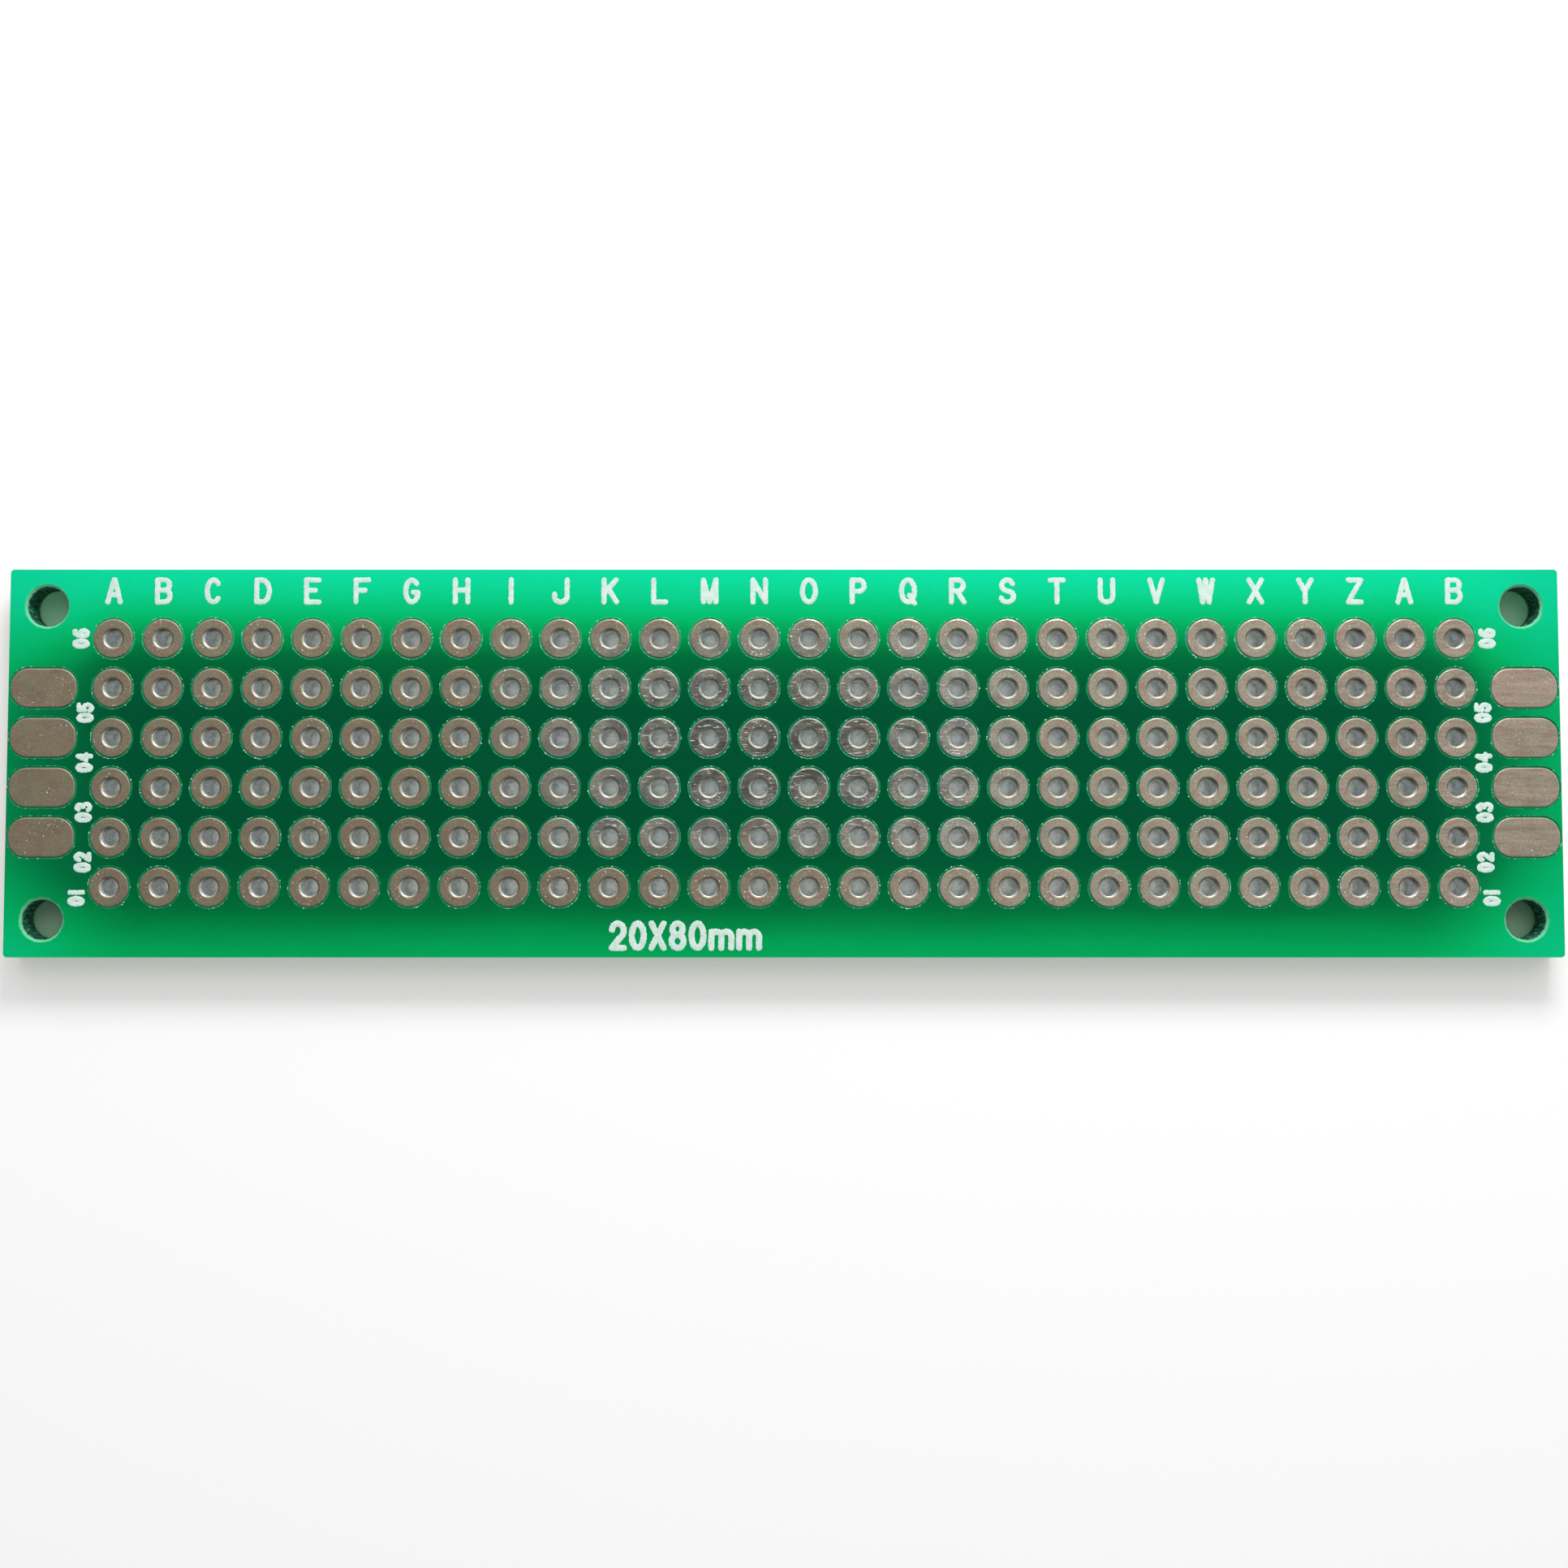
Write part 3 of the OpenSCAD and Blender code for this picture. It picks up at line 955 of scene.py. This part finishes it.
def make_floor(stage):
    """A wide pale table, whose own faint glow keeps it white away from the board's shadow; beneath the
    board, painted shade and painted glow stand in for what shows through the holes.
    """
    corners = [
        (x * FLOOR_HALF, y * FLOOR_HALF, -FLOOR_DROP * MM)
        for x, y in ((-1, -1), (1, -1), (1, 1), (-1, 1))
    ]
    mesh = bpy.data.meshes.new("floor")
    mesh.from_pydata(corners, [], [(0, 1, 2, 3)])
    floor = bpy.data.objects.new("floor", mesh)
    bpy.context.scene.collection.objects.link(floor)
    m = Finish("pale_table", Roughness=0.9, Specular_IOR_Level=0.0, Emission_Strength=1)
    under_board = (abs(m.x) < HALF_L) * (abs(m.y) < HALF_W)
    # Painted shade: beneath the board the table is a dimmer, greener colour
    m.drive("Base Color", m.mix(under_board, stage.floor, stage.shadow))
    # Painted light beneath the board: a greenish glow through the mounting holes, brighter towards the
    # lettered edge, and a grey glow through each lead hole, painted darker towards its wall
    dx, dy, under_grid = m.lead_hole_offset()
    cloud = m.noise(m.place, 5, detail=3, roughness=0.6).step(0.3, 0.7) - 0.5
    off_axis = distance(dx, dy) + cloud * 0.3
    bore_glow = m.mix(off_axis.step(0, 0.6), stage.bore_glow, stage.bore_edge)
    glow = m.mix(m.y.step(-9, 9), (0, 0, 0), stage.hole_glow)
    glow = m.mix(under_board, stage.glow, glow)
    glow = m.mix(under_grid, glow, bore_glow)
    glow = m.mix(distance(m.x, m.y).step(80, 300), glow, (1, 1, 1))
    m.drive("Emission Color", m.mix(stage_is_seen(m), (0, 0, 0), glow))
    paint(floor, m)


def make_sky(stage):
    """Soft light from all round, dimmer overhead where the camera hangs, and white where it is seen."""
    world = bpy.data.worlds.new("studio")
    bpy.context.scene.world = world
    world.use_nodes = True
    t = Tree(world.node_tree)
    # The parts along X, Y and Z of the direction that the light comes from
    direction = t.add("ShaderNodeTexCoord", output="Generated")
    x, y, z = (t.add("ShaderNodeSeparateXYZ", {}, {0: direction}, name) for name in "XYZ")
    # Overhead: the camera's own shade, a ceiling that brightens to the right, and the window beyond it
    camera_shade = distance((x - 0.004) * 0.48, y - 0.067).step(0.062, 0.037)
    drift = 1 + x.step(-0.14, 0.1) * 0.58 - x.step(0.26, 0.42) * 0.2 - x.step(-0.3, -0.48) * 0.1
    drift = drift + y.step(0.07, 0.12) * 0.16
    drift = drift * (1 + y * 0.15) * (1 - y.step(-0.1, -0.4) * 0.6)
    above = stage.overhead * drift * (1 - camera_shade * 0.72)
    above = above + y.step(0.2, 0.5) * abs(x - 0.05).step(0.8, 0.15) * stage.window
    # Lower down: the soft sides, and an even band near the horizon
    low = z.step(0.84, 0.45)
    sides = stage.sides * (1 + x * 0.4 - x * x * 0.4 + y * 0.5) * (0.6 + y * y * 0.4)
    horizon = z.step(0.42, 0.25)
    level = (above * (1 - low) + low * sides) * (1 - horizon) + horizon * stage.horizon
    seen = t.add("ShaderNodeLightPath", output="Is Camera Ray")
    strength = seen + (1 - seen) * level
    t.links.new(strength.socket, t.nodes["Background"].inputs["Strength"])
    t.nodes["Background"].inputs["Color"].default_value = (1, 1, 1, 1)


def make_lamp(stage):
    """A soft lamp beyond the lettered edge, a little to the right."""
    data = bpy.data.lights.new("key", "AREA")
    data.shape = "RECTANGLE"
    data.size, data.size_y = LAMP_SIZE
    data.energy = stage.key
    lamp = bpy.data.objects.new("key", data)
    lamp.location = LAMP_PLACE
    lamp.rotation_euler = (-LAMP_PLACE).to_track_quat("-Z", "Y").to_euler()
    lamp.visible_camera = False
    bpy.context.scene.collection.objects.link(lamp)


def make_camera(stage):
    """Hangs close above the board, so that each end's holes show their outer walls."""
    height, back = stage.camera_h, stage.camera_back
    place = Vector((0, -back, height + BOARD_T * MM))
    target = Vector((0, AIM_Y * MM, BOARD_T * MM))
    data = bpy.data.cameras.new("camera")
    data.sensor_width = 36
    reach = (place - target).length
    data.lens = data.sensor_width / 2 * reach * stage.fill / (HALF_L * MM)
    data.clip_start, data.clip_end = 1 * MM, 20
    camera = bpy.data.objects.new("camera", data)
    camera.location = place
    camera.rotation_euler = (target - place).to_track_quat("-Z", "Y").to_euler()
    bpy.context.scene.collection.objects.link(camera)
    bpy.context.scene.camera = camera


# ---------------------------------------------------------------- operators


class BOARD_OT_coat_lacquer(bpy.types.Operator):
    """Coat both faces with green solder mask lacquer"""

    bl_idname = "board.coat_lacquer"
    bl_label = "Coat with lacquer"

    def execute(self, context):
        scene = context.scene
        finish = lacquer_finish(scene.board_lacquer, scene.board_laminate)
        for face in ("top", "bottom"):
            paint(frame["nodes"][f"solder_mask_{face}"], finish)
        return {"FINISHED"}


class BOARD_OT_raise_lips(bpy.types.Operator):
    """Raise the lacquer's lips round the openings of both faces"""

    bl_idname = "board.raise_lips"
    bl_label = "Raise the lips"

    def execute(self, context):
        lacquer = context.scene.board_lacquer
        finish = lip_finish(lacquer)
        sunk = 0.002
        for face, z, outwards in (("top", MASK_TOP - sunk, 1), ("bottom", MASK_BOTTOM + sunk, -1)):
            name = f"mask_lips_{face}"
            piece = lips_tree(name, z, outwards, lacquer).make(name, finish)
            settle(piece)
        return {"FINISHED"}


class BOARD_OT_tin_metal(bpy.types.Operator):
    """Tin the plated holes and the connector pads"""

    bl_idname = "board.tin_metal"
    bl_label = "Tin the metal"

    def execute(self, context):
        finish = tin_finish(context.scene.board_tin)
        for name, piece in frame["nodes"].items():
            if name.startswith(("plated_holes", "edge_pad")):
                paint(piece, finish)
        return {"FINISHED"}


class BOARD_OT_drop_nibs(bpy.types.Operator):
    """Leave tiny dried drops of lacquer round the openings"""

    bl_idname = "board.drop_nibs"
    bl_label = "Drop lacquer nibs"

    def execute(self, context):
        lacquer = context.scene.board_lacquer
        finish = Finish("solder_mask_nib", Roughness=0.3, Base_Color=rgba(lacquer.nib))
        piece = nibs_tree("mask_nibs_top", MASK_TOP, lacquer).make("mask_nibs_top", finish)
        settle(piece)
        return {"FINISHED"}


class BOARD_OT_cut_laminate(bpy.types.Operator):
    """Show the glass plies on the routed edge and in the drilled holes"""

    bl_idname = "board.cut_laminate"
    bl_label = "Cut the laminate"

    def execute(self, context):
        paint(frame["nodes"]["substrate"], laminate_finish(context.scene.board_laminate))
        return {"FINISHED"}


class BOARD_OT_print_legend(bpy.types.Operator):
    """Print the column letters, the row numbers and the size mark"""

    bl_idname = "board.print_legend"
    bl_label = "Print the legend"

    def execute(self, context):
        legend = context.scene.board_legend
        print_marks("legend_columns", column_marks(legend), legend, 1)
        print_marks("legend_rows", row_marks(legend), legend, 2)
        print_marks("legend_size", size_marks(legend), legend, 3)
        return {"FINISHED"}


class BOARD_OT_set_stage(bpy.types.Operator):
    """Set the table, the light and the camera"""

    bl_idname = "board.set_stage"
    bl_label = "Set the stage"

    def execute(self, context):
        stage = context.scene.board_stage
        make_floor(stage)
        make_sky(stage)
        make_lamp(stage)
        make_camera(stage)
        context.scene.view_settings.view_transform = "Standard"
        return {"FINISHED"}


OPERATORS = (
    BOARD_OT_coat_lacquer,
    BOARD_OT_raise_lips,
    BOARD_OT_tin_metal,
    BOARD_OT_drop_nibs,
    BOARD_OT_cut_laminate,
    BOARD_OT_print_legend,
    BOARD_OT_set_stage,
)

SETTINGS = {
    "board_lacquer": LacquerSettings,
    "board_tin": TinSettings,
    "board_laminate": LaminateSettings,
    "board_legend": LegendSettings,
    "board_stage": StageSettings,
}


class BOARD_PT_finishes(bpy.types.Panel):
    """Lists the board's settings and steps"""

    bl_idname = "BOARD_PT_finishes"
    bl_label = "Prototype Board"
    bl_space_type = "VIEW_3D"
    bl_region_type = "UI"
    bl_category = "Board"

    def draw(self, context):
        for name, group in SETTINGS.items():
            box = self.layout.box()
            box.label(text=name.removeprefix("board_").title())
            for setting in group.__annotations__:
                box.prop(getattr(context.scene, name), setting)
        for operator in OPERATORS:
            self.layout.operator(operator.bl_idname)


CLASSES = (*SETTINGS.values(), *OPERATORS, BOARD_PT_finishes)


def register():
    for cls in CLASSES:
        bpy.utils.register_class(cls)
    for name, group in SETTINGS.items():
        setattr(bpy.types.Scene, name, PointerProperty(type=group))


def unregister():
    for name in SETTINGS:
        delattr(bpy.types.Scene, name)
    for cls in reversed(CLASSES):
        bpy.utils.unregister_class(cls)


def main():
    register()
    for operator in OPERATORS:
        group, name = operator.bl_idname.split(".")
        getattr(getattr(bpy.ops, group), name)()


if __name__ == "__main__":
    main()
